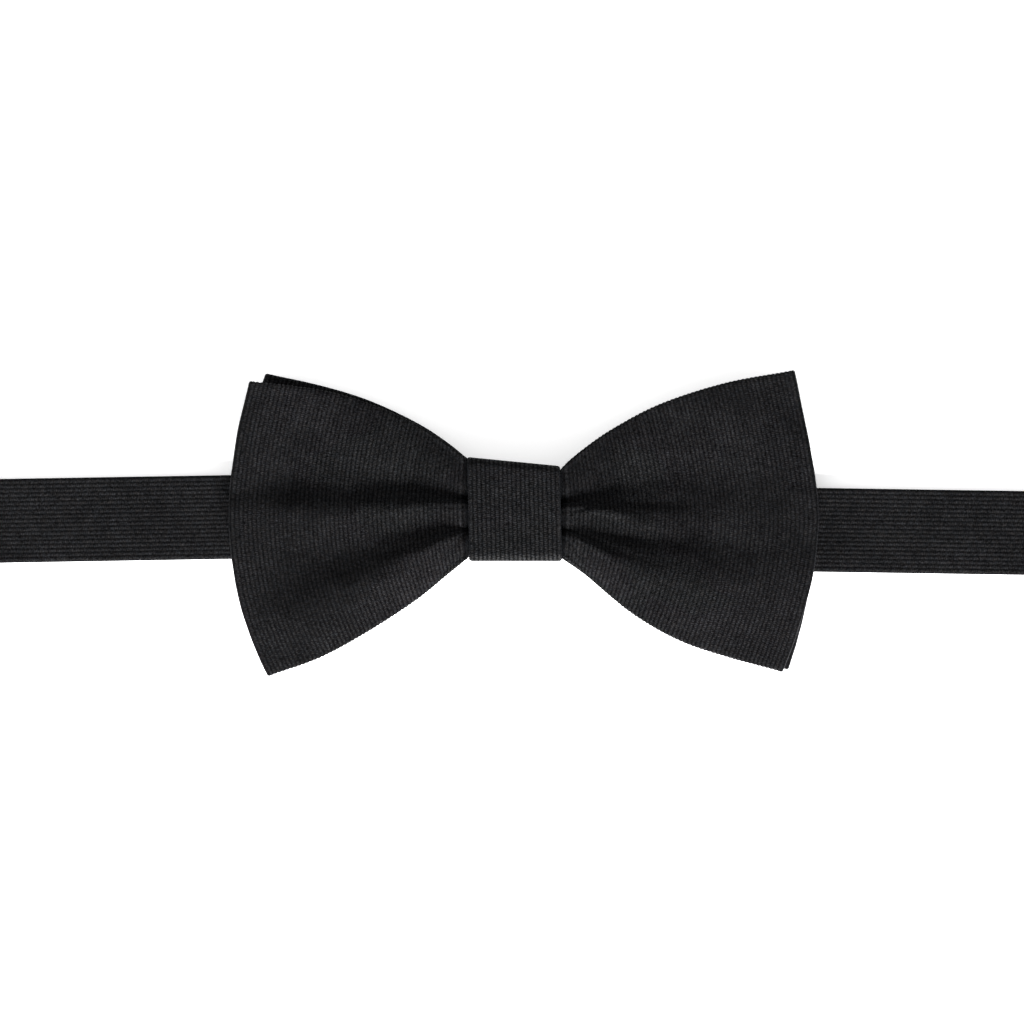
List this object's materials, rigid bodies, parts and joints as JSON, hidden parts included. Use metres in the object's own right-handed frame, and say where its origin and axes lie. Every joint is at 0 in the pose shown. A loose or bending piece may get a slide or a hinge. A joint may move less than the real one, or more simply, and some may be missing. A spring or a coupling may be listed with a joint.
{
  "type": "pre-tied bow tie",
  "caption": "Pre-tied bow tie in ribbed black cloth: pleated bow and knot sliding on an adjustable band with a slider, hook and eye.",
  "frame": {"origin": "on the back face of the knot wrap, under the knot's centre; the tie lies on the plane z = 0", "axes": "+X along the opened band towards the hook end, +Y up across the bow as worn, +Z out of the bow's front"},
  "size_m": [0.3855, 0.0645, 0.0135],
  "materials": {
    "black_faille": "ribbed, soft sheen",
    "interlining": "matt felt",
    "black_thread": "twisted thread",
    "nickel_plate": "satin nickel plating"
  },
  "bodies": {
    "neckband": {"neckband_shell": "black_faille", "neckband_interlining": "interlining", "eye_fold_stitches": "black_thread", "strap_run_to_slider": "black_faille"},
    "bow": {"front_bow_shell": "black_faille", "front_bow_interlining": "interlining", "rear_bow_shell": "black_faille", "rear_bow_interlining": "interlining", "gather_thread": "black_thread", "knot_wrap": "black_faille", "knot_interlining": "interlining", "knot_seam_stitches": "black_thread"},
    "eye": {"eye_plate": "nickel_plate"},
    "slider": {"slider_frame": "nickel_plate", "strap_over_slider": "black_faille", "strap_anchor_end": "black_faille", "anchor_stitches": "black_thread"},
    "hook_end": {"strap_turn": "black_faille", "strap_run_top": "black_faille", "strap_run_return": "black_faille"},
    "hook": {"hook_plate": "nickel_plate"}
  },
  "joints": [
    {"name": "bow_slide", "type": "slide", "parent": "neckband", "child": "bow", "axis": [1, 0, 0], "range_m": [-0.008, 0.008]},
    {"name": "eye_hinge", "type": "hinge", "parent": "neckband", "child": "eye", "pos_m": [-0.15198, -0.00306, 0.00165], "axis": [-0.0171, 0.9999, 0], "range_deg": [0, 140]},
    {"name": "slider_slide", "type": "slide", "parent": "neckband", "child": "slider", "axis": [0.9999, -0.0152, 0], "range_m": [-0.038, 0.085], "deforming": ["strap_run_to_slider"]},
    {"name": "hook_end_slide", "type": "slide", "parent": "slider", "child": "hook_end", "axis": [0.9999, -0.0152, 0], "range_m": [-0.0426, 0.0191], "deforming": ["strap_run_top", "strap_run_return"]},
    {"name": "hook_hinge", "type": "hinge", "parent": "hook_end", "child": "hook", "pos_m": [0.20598, -0.00639, 0.00165], "axis": [-0.0152, -0.9999, 0], "range_deg": [0, 140]}
  ],
  "couplings": [
    {"joint": "hook_end_slide", "follows": "slider_slide", "ratio": -0.5}
  ]
}
